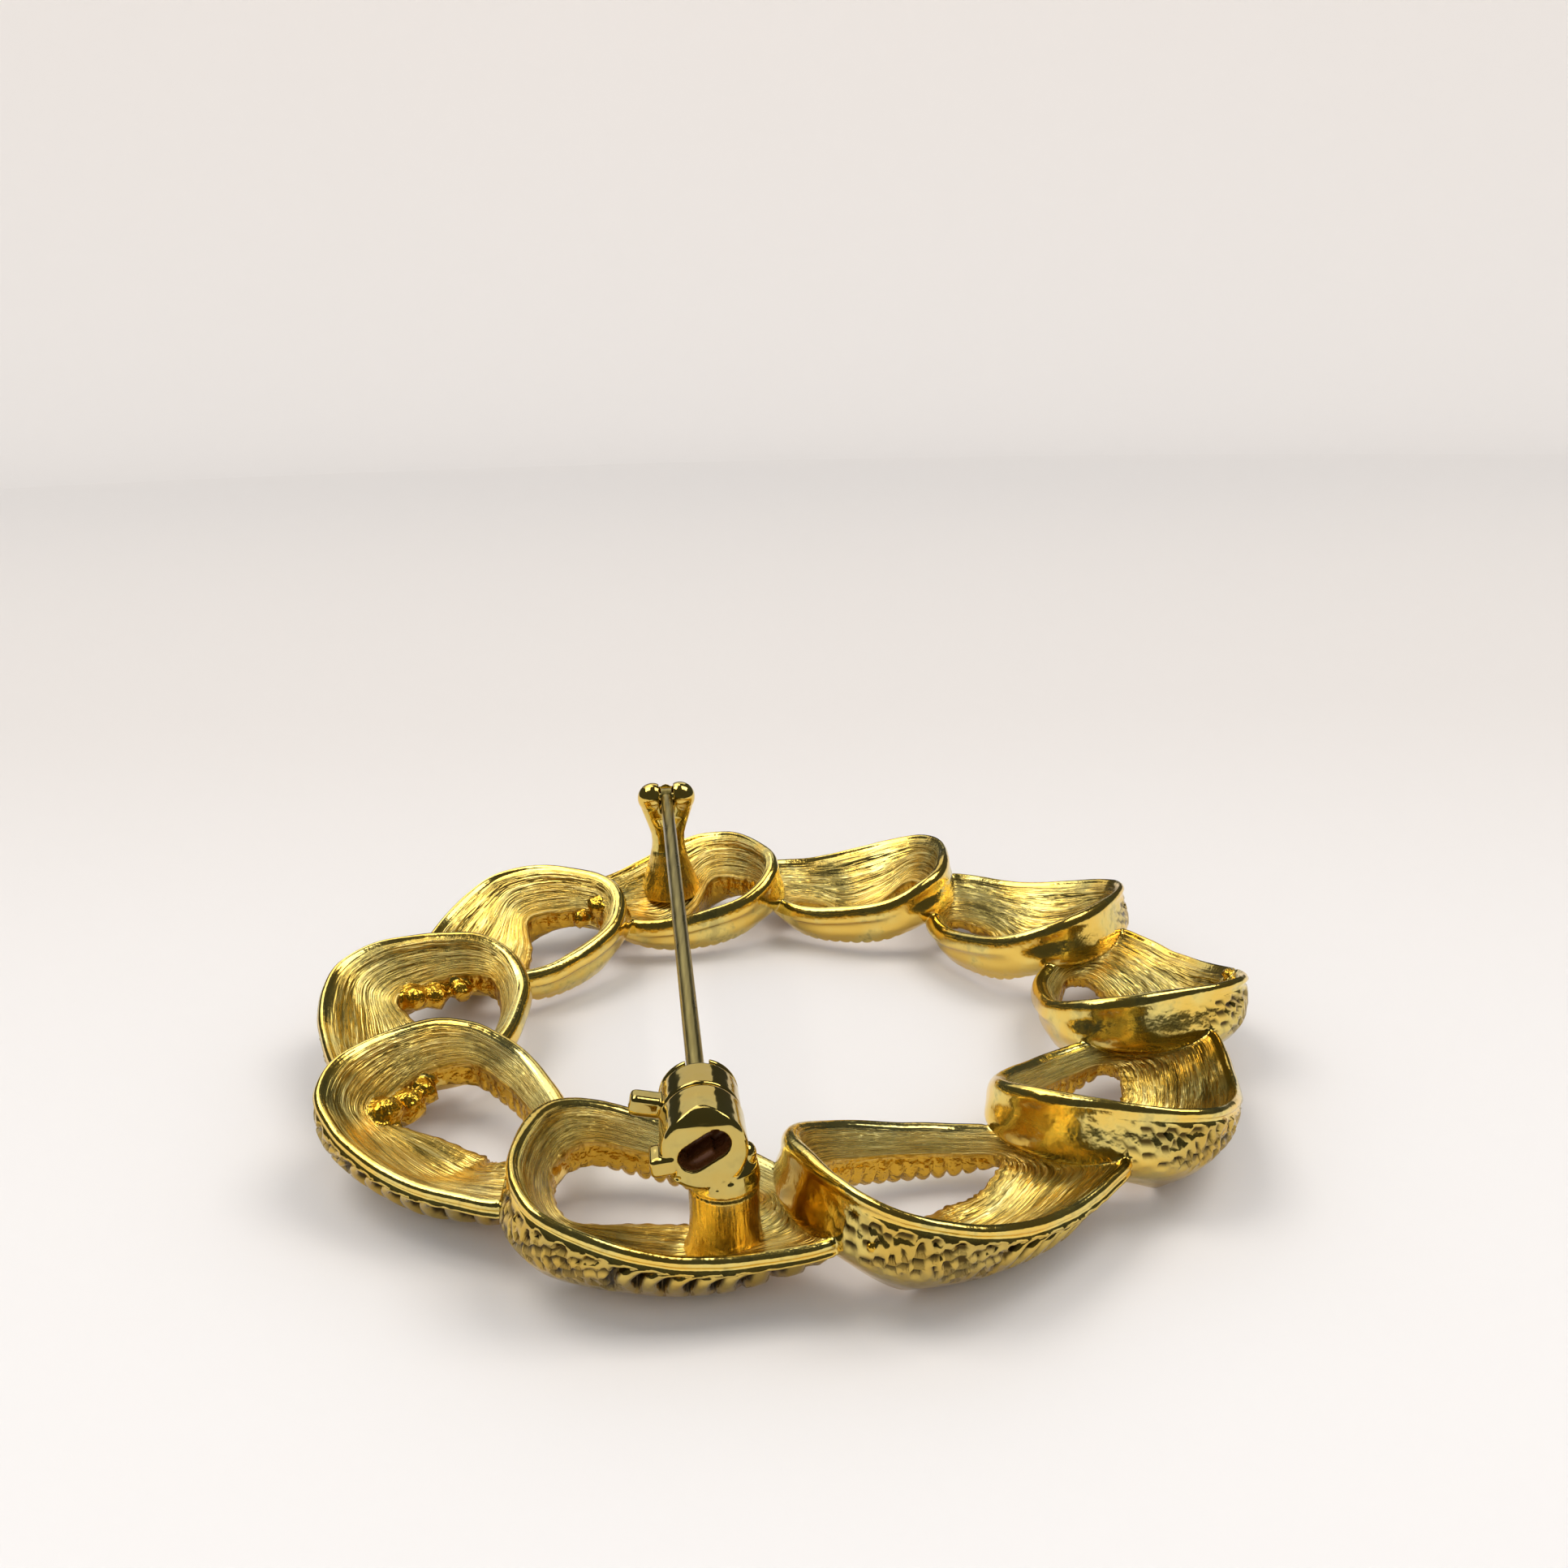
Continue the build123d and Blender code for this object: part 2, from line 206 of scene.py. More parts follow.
def relief(row, turn, place, fall, along, phases, out, facing):
    """How far the cast pattern moves a point, how deep in a cut it is, and the side it is on.

    The side is 1 on the outer flank and -1 on the inner back.
    """
    rib_phase, lobe_phase = phases
    move = Vector((0, 0, 0))
    cut = 0
    if collar < place < keel_corner and row.gadroon > 0.02:
        lift = flank_lift(row, turn, fall, along, rib_phase)
        cut = ramp(0.03, 0.26, -lift)
        lean = ramp(collar, collar + 1.2, place)
        move += (out * (1 - lean) + facing * lean) * lift
    if collar - 0.6 < place < collar + 0.6 and row.gadroon > 0.02:
        # the collar is left rough from the mould
        grit = noise.noise(Vector((along * 2.6, place, 3.1)))
        near = 1 - abs(place - collar) / 0.6
        fading = 1 - ramp(5.2, 6.2, turn % len(loop_table))
        move += out * (grit_height * grit * near * min(row.gadroon * 1.3, 1) * fading)
    if keel_corner - 1.5 < place < slot_corner and row.scallop > 0.02:
        swell = abs(sin(pi * lobe_phase)) ** 0.6 - 0.55
        reach = (ramp(keel_corner - 1.2, keel_corner + 0.4, place)
                 * (1 - ramp(under_corner, slot_corner, place)))
        move += (Vector((0, 0, -0.75)) - out * 0.65) * (lobe_height * swell * reach * row.scallop)
    wall = (ramp(keel_corner - 0.2, keel_corner + 0.8, place)
            * (1 - ramp(slot_corner - 0.1, slot_corner + 0.8, place)))
    if wall > 0 and row.scallop < 0.98:
        # little nodules where the mould's corner filled badly
        cell = noise.voronoi(Vector((along * 1.25, place * 1.3, 0.7)))[0][0]
        move -= out * (nodule_height * max(0.55 - cell, 0) * wall * (1 - row.scallop))
    if collar - 0.5 < place < under_corner:
        side = max(min(row.gadroon * 1.5, 1), 0)
    else:
        side = -max(min(row.scallop, 1), 0) if place > slot_corner else 0
    return move, (cut, side)


def loop_mesh(mark):
    """One loop as a closed mesh of sections, with a UV map in millimetres along and round the strand."""
    stations = station_list()
    places = [k + step / count for k, count in enumerate(corner_samples) for step in range(count)]
    widths = [0.3, 0.5, 0.3, 1.0, 1.4, 1.3, 1.3, 1.2, 0.9, 1.6, 1.8, 0.8, 0.4]
    starts = [sum(widths[:k]) for k in range(corner_count + 1)]
    lengths = [0.0]
    for (a, *_), (b, *_) in zip(stations, stations[1:] + stations[:1]):
        rim_a, rim_b = strand_corners(a)[0][0], strand_corners(b)[0][0]
        lengths.append(lengths[-1] + (rim_b - rim_a).length)
    mesh = bmesh.new()
    bmesh.ops.create_grid(mesh, x_segments=len(stations), y_segments=len(places), size=1)
    layer = mesh.loops.layers.uv.new("strand")
    cuts = mesh.loops.layers.uv.new("cuts")
    where, depths = {}, {}
    for vert in mesh.verts:
        i = round((vert.co.x + 1) / 2 * len(stations))
        j = round((vert.co.y + 1) / 2 * len(places))
        where[vert] = (i, j)
    for vert, (i, j) in where.items():
        turn, *phases = stations[i % len(stations)]
        place = places[j % len(places)]
        slant = 0
        if collar < place < under_corner:
            # the ribs lean: they run back along the loop as they go down
            down = (place - collar) / (under_corner - collar)
            fading = 1 - ramp(5.6, 7.2, turn % len(loop_table))
            slant = rib_slant * between(turn).gadroon * sin(pi * down ** 0.75) * fading
        point, out, facing = on_strand(turn - slant, place)
        row = between(turn - slant)
        fall = row.rim_up * ring_depth - point.z
        along = lengths[i % len(stations)] - slant * row_length
        move, depths[i, j] = relief(row, turn - slant, place, fall, along, phases, out, facing)
        vert.co = point + move
    for face in mesh.faces:
        for corner in face.loops:
            i, j = where[corner.vert]
            place = places[j] if j < len(places) else corner_count
            number = min(int(place), corner_count - 1)
            corner[layer].uv = (lengths[i], starts[number] + (place - number) * widths[number])
            corner[cuts].uv = depths[i, j]
        face.material_index = mark
        face.smooth = True
    bmesh.ops.remove_doubles(mesh, verts=mesh.verts, dist=1e-5)
    bmesh.ops.recalc_face_normals(mesh, faces=mesh.faces)
    if mesh.calc_volume(signed=True) < 0:
        bmesh.ops.reverse_faces(mesh, faces=mesh.faces)
    return mesh


def half_ring(name, first):
    """Every second loop of the ring as one object; none of them touches another."""
    whole = bpy.data.meshes.new(name)
    total = bmesh.new()
    one = loop_mesh(first)
    waves = [Vector((k * 31.7, 5.1, k * 12.3)) for k in range(3)]     # no two loops are quite alike
    for k in range(first, loop_count, 2):
        turned = one.copy()
        turn = Matrix.Rotation(first_loop_angle - pi / 2 + 2 * pi * k / loop_count, 3, "Z")
        for vert in turned.verts:
            vert.co = turn @ vert.co
            vert.co += Vector([noise.noise(vert.co * 0.55 + shift) for shift in waves]) * wave_height
            vert.co.x *= fit_x
            vert.co.y *= fit_y
            vert.co.z = max(vert.co.z, 0)
            vert.co *= mm
        part = bpy.data.meshes.new("one_loop")
        turned.to_mesh(part)
        total.from_mesh(part)
        bpy.data.meshes.remove(part)
        turned.free()
    total.to_mesh(whole)
    total.free()
    one.free()
    shell = bpy.data.objects.new(name, whole)
    bpy.context.scene.collection.objects.link(shell)
    return shell


def combined(body, other, operation):
    """Joins another object to a body or cuts it away, and drops the other one."""
    step = body.modifiers.new("step", "BOOLEAN")
    step.operation = operation
    step.solver = "EXACT"
    step.object = other
    result = bpy.data.meshes.new_from_object(body.evaluated_get(bpy.context.evaluated_depsgraph_get()))
    body.modifiers.clear()
    body.data = result
    bpy.data.objects.remove(other)
    return body


Drop = namedtuple("Drop", "offset angle height size")
mould_drops = [     # in this order no lump touches the next but one
    Drop(-0.3, 131.6, 2.5, 0.6), Drop(-1.4, 129.8, 3.5, 0.7),         # two drops in a slot
    Drop(5.0, -38.8, 3.75, 0.42), Drop(4.2, -81.7, 3.5, 0.22),        # knobs at the loops' tips
    Drop(2.0, -150.6, 2.5, 1.0), Drop(0.7, -153.4, 2.1, 0.9),         # a slot that is partly filled
    Drop(-0.2, -156.2, 2.2, 0.75), Drop(1.4, 171.8, 2.3, 0.9),
    Drop(0.5, 169.6, 2.1, 0.8), Drop(-0.7, 167.2, 2.2, 0.7),          # and the one beside it
    Drop(4.7, -0.6, 4.05, 0.38),
]


def drop_lumps(drops, mark):
    """Drops of metal that ran in the mould and were left; none of these may touch another."""
    mesh = bmesh.new()
    for drop in drops:
        lump = bmesh.ops.create_icosphere(mesh, subdivisions=2, radius=drop.size)["verts"]
        for vert in lump:
            vert.co *= 1 + 0.25 * noise.noise(vert.co * 1.9 + Vector((drop.angle, 0, 0)))
        reach, angle = ring_radius + drop.offset, radians(drop.angle)
        bmesh.ops.translate(mesh, vec=(reach * cos(angle), reach * sin(angle), drop.height), verts=lump)
    bmesh.ops.scale(mesh, vec=(mm, mm, mm), verts=mesh.verts)
    layer = mesh.loops.layers.uv.new("strand")
    for face in mesh.faces:
        face.material_index = mark
        for corner in face.loops:
            corner[layer].uv = (0, 7.3)     # the slot's part of the strand map
    data = bpy.data.meshes.new("mould_drops")
    mesh.to_mesh(data)
    mesh.free()
    made = bpy.data.objects.new("mould_drops", data)
    bpy.context.scene.collection.objects.link(made)
    return made


casting = combined(half_ring("ring_casting", 0), half_ring("other_loops", 1), "UNION")
lumps = combined(drop_lumps(mould_drops[::2], 2), drop_lumps(mould_drops[1::2], 3), "UNION")
combined(casting, lumps, "UNION")


def soften_laps(piece, rounds):
    """Rounds the creases where pieces were joined; there the slot numbers differ."""
    mesh = bmesh.new()
    mesh.from_mesh(piece.data)
    crease = set()
    for edge in mesh.edges:
        if len({face.material_index for face in edge.link_faces}) == 2:
            crease.update(edge.verts)
    near = set(crease)
    for vert in crease:
        near.update(edge.other_vert(vert) for edge in vert.link_edges)
    for _ in range(rounds):
        bmesh.ops.smooth_vert(mesh, verts=list(near), factor=0.5, use_axis_x=True, use_axis_y=True,
                              use_axis_z=True)
    for face in mesh.faces:
        face.material_index = 0
        face.smooth = True
    mesh.to_mesh(piece.data)
    mesh.free()


soften_laps(casting, 3)


# Gilding. The whole casting is gilt over brass: polished on the beads, brushed along the strand on the back,
# brown in the cuts, and deeper orange inside the slots, where it was never polished. The colour also holds
# painted light: painted highlights and dark reflections in the brushed streaks, a painted sheen on the inner
# side and painted shade on the outer flank; the cuts' brown is painted shade with some tarnish, and the
# slots' orange is partly painted shade.
def add_node(tree, kind, values=(), **settings):
    """A node with some of its inputs set: a plain value, or the output socket that feeds it."""
    made = tree.nodes.new(kind)
    for name, value in settings.items():
        setattr(made, name, value)
    for socket, value in dict(values).items():
        if isinstance(value, bpy.types.NodeSocket):
            tree.links.new(value, made.inputs[socket])
        else:
            made.inputs[socket].default_value = value
    return made


def maths(tree, operation, *values):
    return add_node(tree, "ShaderNodeMath", enumerate(values), operation=operation).outputs[0]


def fade(tree, value, low, high):
    """0 at low and 1 at high, smoothly between; low may be the larger."""
    made = add_node(tree, "ShaderNodeMapRange", {"Value": value, "From Min": low, "From Max": high},
                    interpolation_type="SMOOTHSTEP")
    return made.outputs["Result"]


def blend_colours(tree, share, one, other):
    made = add_node(tree, "ShaderNodeMix", {0: share}, data_type="RGBA")
    for socket, colour in ((made.inputs[6], one), (made.inputs[7], other)):
        if isinstance(colour, bpy.types.NodeSocket):
            tree.links.new(colour, socket)
        else:
            socket.default_value = (*colour, 1)
    return made.outputs[2]


def new_material(name):
    material = bpy.data.materials.new(name)
    material.use_nodes = True
    material.node_tree.nodes.clear()
    shader = material.node_tree.nodes.new("ShaderNodeBsdfPrincipled")
    output = material.node_tree.nodes.new("ShaderNodeOutputMaterial")
    material.node_tree.links.new(shader.outputs[0], output.inputs[0])
    return material, material.node_tree, shader


gilt = (0.88, 0.60, 0.125)
pale_gilt = (0.84, 0.67, 0.20)
deep_gilt = (0.76, 0.45, 0.05)
# olive patches: tarnish, and partly painted dark reflection
olive_tarnish_and_dark_reflection = (0.40, 0.34, 0.13)
# streak colours for the back: painted highlights, and scratches with painted dark reflection
painted_highlight_gilt = (1.0, 0.84, 0.34)
scratch_and_dark_reflection_gilt = (0.26, 0.20, 0.055)
painted_flank_shade_gilt = (0.42, 0.27, 0.055)     # painted shade and dark reflection: the outer flank is darkened and browned
# painted dark reflection: polished pieces are blended towards this olive by a share
dark_reflection_gilt = (0.42, 0.32, 0.10)
# painted sheen on the inner side of the back
painted_inner_sheen_gilt = (0.70, 0.66, 0.32)
cut_shade_and_tarnish = (0.07, 0.045, 0.012)     # painted shade in the cuts, with some tarnish and polish left there
# painted shade in the catch's recess
recess_shade_brown = (0.13, 0.042, 0.01)


def gilding_group():
    """Gilding with thin and tarnished patches, their olive partly painted dark reflection: a colour, and a
    mask that is 1 where it is tarnished.
    """
    group = bpy.data.node_groups.new("gilding", "ShaderNodeTree")
    group.interface.new_socket("Place", in_out="INPUT", socket_type="NodeSocketVector")
    group.interface.new_socket("Tarnish", in_out="INPUT", socket_type="NodeSocketFloat")
    group.interface.new_socket("Colour", in_out="OUTPUT", socket_type="NodeSocketColor")
    group.interface.new_socket("Dull", in_out="OUTPUT", socket_type="NodeSocketFloat")
    start = group.nodes.new("NodeGroupInput")
    end = group.nodes.new("NodeGroupOutput")
    broad, small = (add_node(group, "ShaderNodeTexNoise", {
        "Vector": start.outputs[0], "Scale": scale, "Detail": detail}).outputs[0]
        for scale, detail in ((420.0, 3.0), (2600.0, 2.0)))
    colour = blend_colours(group, fade(group, broad, 0.4, 0.62), gilt, pale_gilt)
    spread = maths(group, "ADD", maths(group, "MULTIPLY", broad, 0.55),
                   maths(group, "MULTIPLY", small, 0.45))
    dull = maths(group, "MULTIPLY", fade(group, spread, 0.52, 0.64), start.outputs[1])
    group.links.new(blend_colours(group, dull, colour, olive_tarnish_and_dark_reflection), end.inputs[0])
    group.links.new(dull, end.inputs[1])
    return group


gilding = gilding_group()


def place_gilding(tree, tarnish):
    place = add_node(tree, "ShaderNodeTexCoord").outputs["Object"]
    made = add_node(tree, "ShaderNodeGroup", node_tree=gilding)
    tree.links.new(place, made.inputs[0])
    made.inputs[1].default_value = tarnish
    return place, made.outputs[0], made.outputs[1]


brushed_gilt, tree, shader = new_material("brushed_gilt")
place, colour, _ = place_gilding(tree, 0.5)
strand = add_node(tree, "ShaderNodeUVMap", uv_map="strand").outputs[0]
parts = add_node(tree, "ShaderNodeSeparateXYZ", {0: strand})
along, round_strand = parts.outputs[0], parts.outputs[1]


def streak_noise(tree, along, across, stretch, count, detail):
    """Noise drawn out along the strand; count is streaks to a millimetre."""
    vector = add_node(tree, "ShaderNodeCombineXYZ", {
        0: maths(tree, "MULTIPLY", along, stretch), 1: maths(tree, "MULTIPLY", across, count)}).outputs[0]
    return add_node(tree, "ShaderNodeTexNoise", {"Vector": vector, "Scale": 1.0, "Detail": detail,
                                                 "Roughness": 0.65}).outputs[0]


wall_edge, slot_edge, rim_edge = 6.0, 8.2, 12.4     # millimetres round the strand
scratch_and_dark_reflection_share, painted_highlight_share, flank_shade_share, inner_sheen_share = 0.8, 0.7, 0.6, 0.4
fine = streak_noise(tree, along, round_strand, stretch=0.3, count=6.5, detail=2.0)
coarse = streak_noise(tree, along, round_strand, stretch=0.12, count=2.4, detail=2.0)
streaks = maths(tree, "ADD", maths(tree, "MULTIPLY", fine, 0.55), maths(tree, "MULTIPLY", coarse, 0.45))
on_back = maths(tree, "MULTIPLY", fade(tree, round_strand, slot_edge - 0.3, slot_edge + 0.3),
                fade(tree, round_strand, rim_edge + 0.1, rim_edge - 0.3))
in_slot = maths(tree, "MULTIPLY", fade(tree, round_strand, wall_edge - 0.4, wall_edge + 0.4),
                fade(tree, round_strand, slot_edge + 1.2, slot_edge - 0.2))
# inside the slots the gilding is a deeper orange: unpolished metal, and partly painted shade
colour = blend_colours(tree, in_slot, colour, deep_gilt)
# the brushed streaks on the back: the dark ones are scratches and painted dark reflection, the bright ones
# painted highlights
scratch_and_dark_reflection = maths(tree, "MULTIPLY", on_back, fade(tree, streaks, 0.50, 0.40))
colour = blend_colours(tree, maths(tree, "MULTIPLY", scratch_and_dark_reflection, scratch_and_dark_reflection_share), colour, scratch_and_dark_reflection_gilt)
painted_highlight = maths(tree, "MULTIPLY", on_back, fade(tree, streaks, 0.5, 0.6))
colour = blend_colours(tree, maths(tree, "MULTIPLY", painted_highlight, painted_highlight_share), colour, painted_highlight_gilt)
cuts = add_node(tree, "ShaderNodeUVMap", uv_map="cuts").outputs[0]
cut_parts = add_node(tree, "ShaderNodeSeparateXYZ", {0: cuts})
# painted shade on the outer flank
on_flank_shade = fade(tree, cut_parts.outputs[1], 0.2, 0.9)
colour = blend_colours(tree, maths(tree, "MULTIPLY", on_flank_shade, flank_shade_share), colour, painted_flank_shade_gilt)
# painted sheen: the inner side of the back is paled towards silver
on_inner = fade(tree, cut_parts.outputs[1], -0.2, -1.0)
colour = blend_colours(tree, maths(tree, "MULTIPLY", on_inner, inner_sheen_share), colour, painted_inner_sheen_gilt)
# painted shade: the cuts are darkened to near-black brown, with some tarnish
in_cut = fade(tree, cut_parts.outputs[0], 0.15, 0.8)
colour = blend_colours(tree, in_cut, colour, cut_shade_and_tarnish)
tree.links.new(colour, shader.inputs["Base Color"])
shader.inputs["Metallic"].default_value = 1
rough = maths(tree, "ADD", 0.15, maths(tree, "MULTIPLY", on_back, maths(tree, "ADD", 0.02, maths(
    tree, "MULTIPLY", streaks, 0.2))))
rough = maths(tree, "ADD", rough, maths(tree, "MULTIPLY", in_slot, 0.1))
tree.links.new(rough, shader.inputs["Roughness"])
cast_skin = add_node(tree, "ShaderNodeTexNoise", {"Vector": place, "Scale": 2200.0,
                                                  "Detail": 2.0}).outputs[0]
height = maths(tree, "ADD", maths(tree, "MULTIPLY", streaks, on_back),
               maths(tree, "MULTIPLY", cast_skin, maths(tree, "ADD", 0.06, maths(
                   tree, "MULTIPLY", in_slot, 0.5))))
bump = add_node(tree, "ShaderNodeBump", {"Height": height, "Distance": 0.4 * mm, "Strength": 1.0})
tree.links.new(bump.outputs[0], shader.inputs["Normal"])

casting.data.materials.clear()
casting.data.materials.append(brushed_gilt)
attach(casting, "frame")
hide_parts("wreath")

# Hinge. A post with a waisted neck is cast on the back of one loop and ends in two round ears with a slot
# between them. The pin's eye sits in the slot on a rivet whose ends are filed flush and polished.
hinge_angle, hinge_offset, hinge_height = radians(109.6), 2.95, 8.35
catch_angle, catch_offset, catch_height = radians(-99.2), 0.35, 6.7
root_height = 1.65


def above_ring(offset, angle, height):
    return Vector(((ring_radius + offset) * cos(angle), (ring_radius + offset) * sin(angle), height))


hinge_point = above_ring(hinge_offset, hinge_angle, hinge_height)
catch_point = above_ring(catch_offset, catch_angle, catch_height)
pin_line = (catch_point - hinge_point).normalized()
pin_across = pin_line.cross(Vector((0, 0, 1))).normalized()
pin_up = pin_across.cross(pin_line)


def place_at(point):
    """From local millimetres, x across the pin, y towards the catch and z up, to the brooch's metres."""
    turn = Matrix((pin_across, pin_line, pin_up)).transposed().to_4x4()
    return Matrix.Scale(mm, 4) @ Matrix.Translation(point) @ turn


def as_object(name, mesh):
    data = bpy.data.meshes.new(name)
    for face in mesh.faces:
        face.smooth = True
    mesh.to_mesh(data)
    mesh.free()
    made = bpy.data.objects.new(name, data)
    bpy.context.scene.collection.objects.link(made)
    return made


def cast_soft(piece, grain, rounds, where):
    """Closes the piece into one skin with soft edges, as cast metal has, and puts it in place."""
    skin = piece.modifiers.new("skin", "REMESH")
    skin.mode = "VOXEL"
    skin.voxel_size = grain
    skinned = bpy.data.meshes.new_from_object(piece.evaluated_get(bpy.context.evaluated_depsgraph_get()))
    piece.modifiers.clear()
    mesh = bmesh.new()
    mesh.from_mesh(skinned)
    for _ in range(rounds):
        bmesh.ops.smooth_vert(mesh, verts=mesh.verts, factor=0.5, use_axis_x=True, use_axis_y=True,
                              use_axis_z=True)
    bmesh.ops.transform(mesh, matrix=where, verts=mesh.verts)
    bmesh.ops.recalc_face_normals(mesh, faces=mesh.faces)
    for face in mesh.faces:
        face.smooth = True
    mesh.to_mesh(piece.data)
    mesh.free()
    return piece


def stack_rings(mesh, levels, steps=40):
    """A closed body through level ellipses, each given as (half width, half depth, middle's y, height)."""
    rings = []
    for wide, deep, middle, height in levels:
        ring = bmesh.ops.create_circle(mesh, cap_ends=False, radius=1, segments=steps)["verts"]
        for vert in ring:
            vert.co = Vector((vert.co.x * wide, vert.co.y * deep + middle, height))
        rings.append(set(ring))
    edge_rings = [[edge for edge in mesh.edges if edge.verts[0] in ring and edge.verts[1] in ring]
                  for ring in rings]
    for low, high in zip(edge_rings, edge_rings[1:]):
        bmesh.ops.bridge_loops(mesh, edges=low + high)
    for ring in (edge_rings[0], edge_rings[-1]):
        bmesh.ops.edgeloop_fill(mesh, edges=ring)
    bmesh.ops.recalc_face_normals(mesh, faces=mesh.faces)


def ball(name, radius, centre, squash=(1, 1, 1)):
    mesh = bmesh.new()
    bmesh.ops.create_uvsphere(mesh, u_segments=40, v_segments=24, radius=radius)
    bmesh.ops.scale(mesh, vec=squash, verts=mesh.verts)
    bmesh.ops.translate(mesh, vec=centre, verts=mesh.verts)
    return as_object(name, mesh)


def block(name, low, high, turn=0, rounding=0.0):
    """A box, its edges rounded, turned round the pin's line by some degrees."""
    low, high = Vector(low), Vector(high)
    mesh = bmesh.new()
    bmesh.ops.create_cube(mesh, size=1, matrix=Matrix.Translation((low + high) / 2)
                          @ Matrix.Diagonal((*(high - low), 1)))
    if rounding:
        bmesh.ops.bevel(mesh, geom=mesh.edges[:], offset=rounding, affect="EDGES", segments=4, profile=0.5,
                        material=-1)
    bmesh.ops.rotate(mesh, cent=(0, 0, 0), matrix=Matrix.Rotation(radians(turn), 3, "Y"), verts=mesh.verts)
    return as_object(name, mesh)


ear_radius, ear_spread, neck_radius, neck_drop, eye_radius = 1.0, 0.9, 1.08, 3.0, 0.6
pin_radius, side_gap, running_gap = 0.39, 0.08, 0.05
well_past = 3     # a cut's end that is clear of the metal
foot = root_height - hinge_height

post = bmesh.new()
stack_rings(post, [
    (neck_radius * 2.0, neck_radius * 2.0, 0, foot),
    (neck_radius * 1.8, neck_radius * 1.8, 0, foot * 0.9),
    (neck_radius * 1.5, neck_radius * 1.5, 0, foot * 0.78),
    (neck_radius * 1.2, neck_radius * 1.2, 0, foot * 0.64),
    (neck_radius * 1.04, neck_radius * 1.04, 0, -neck_drop * 1.15),
    (neck_radius, neck_radius, 0, -neck_drop),
    (neck_radius * 1.03, neck_radius * 0.98, 0, -neck_drop * 0.82),
    (neck_radius * 1.2, neck_radius * 0.95, 0, -neck_drop * 0.62),
    (ear_spread + 0.62 * ear_radius, 0.9 * ear_radius, 0, -neck_drop * 0.4),
    (ear_spread + 0.86 * ear_radius, 0.93 * ear_radius, 0, -ear_radius * 0.5),
    (ear_spread + 0.9 * ear_radius, 0.9 * ear_radius, 0, 0),
    (ear_spread * 0.9, 0.7 * ear_radius, 0, ear_radius * 0.8),
])
hinge_post = as_object("hinge_post", post)
for side in (-1, 1):
    combined(hinge_post, ball("ear", ear_radius, (side * ear_spread, 0, 0)), "UNION")
eye_room = (-pin_radius - side_gap, -eye_radius - side_gap, -eye_radius - 2 * side_gap)
combined(hinge_post, block("hinge_slot", eye_room, (pin_radius + side_gap, well_past, well_past)),
         "DIFFERENCE")
cast_soft(hinge_post, 0.06, 5, place_at(hinge_point))


brushed_below = 4.65 * mm


def polished_gilding(name, dark_reflection_share, recess=None):
    """Polished gilding, brushed upright low down and blended to olive by a share as painted dark reflection;
    a recess (middle, line, start, end) is painted dark brown as shade.
    """
    material, tree, shader = new_material(name)
    place, colour, dull = place_gilding(tree, 0.35)
    # painted dark reflection: the whole piece is blended towards olive by this share
    colour = blend_colours(tree, dark_reflection_share, colour, dark_reflection_gilt)
    drawn = add_node(tree, "ShaderNodeMapping", {"Vector": place})
    drawn.inputs["Scale"].default_value = (4500, 4500, 500)
    file_marks = add_node(tree, "ShaderNodeTexNoise", {"Vector": drawn.outputs[0], "Scale": 1.0,
                                                       "Detail": 3.0}).outputs[0]
    level = add_node(tree, "ShaderNodeSeparateXYZ", {0: place}).outputs[2]
    low_down = fade(tree, level, brushed_below + 0.25 * mm, brushed_below - 0.25 * mm)
    colour = blend_colours(tree, maths(tree, "MULTIPLY", low_down, 0.5), colour, deep_gilt)
    rough = maths(tree, "ADD", 0.09, maths(tree, "MULTIPLY", dull, 0.2))
    rough = maths(tree, "ADD", rough, maths(tree, "MULTIPLY", low_down, 0.16))
    if recess:
        middle, line, start, end = recess
        inside = add_node(tree, "ShaderNodeVectorMath", {0: place, 1: middle},
                          operation="SUBTRACT").outputs[0]
        run = add_node(tree, "ShaderNodeVectorMath", {0: inside, 1: line},
                       operation="DOT_PRODUCT").outputs["Value"]
        reach = add_node(tree, "ShaderNodeVectorMath", {0: inside}, operation="LENGTH").outputs["Value"]
        aside = maths(tree, "SQRT", maths(tree, "SUBTRACT", maths(tree, "MULTIPLY", reach, reach),
                                          maths(tree, "MULTIPLY", run, run)))
        # painted shade: the recess is darkened to brown and made less metallic
        recess_shade = maths(tree, "MULTIPLY", fade(tree, run, end, end - 0.1 * mm),
                      fade(tree, run, start, start + 0.1 * mm))
        recess_shade = maths(tree, "MULTIPLY", recess_shade, fade(tree, aside, 1.3 * mm, 1.15 * mm))
        colour = blend_colours(tree, recess_shade, colour, recess_shade_brown)
        rough = maths(tree, "ADD", rough, maths(tree, "MULTIPLY", recess_shade, 0.15))
        bare = maths(tree, "SUBTRACT", 1.0, maths(tree, "MULTIPLY", recess_shade, 0.75))
        tree.links.new(bare, shader.inputs["Metallic"])
    else:
        shader.inputs["Metallic"].default_value = 1
    tree.links.new(colour, shader.inputs["Base Color"])
    tree.links.new(rough, shader.inputs["Roughness"])
    soft_skin = add_node(tree, "ShaderNodeTexNoise", {"Vector": place, "Scale": 1100.0,
                                                      "Detail": 1.0}).outputs[0]
    height = maths(tree, "ADD", maths(tree, "MULTIPLY", soft_skin, 0.35), maths(
        tree, "MULTIPLY", file_marks, maths(tree, "ADD", 0.03, maths(tree, "MULTIPLY", low_down, 0.8))))
    bump = add_node(tree, "ShaderNodeBump", {"Height": height, "Distance": 0.1 * mm, "Strength": 1.0})
    tree.links.new(bump.outputs[0], shader.inputs["Normal"])
    return material


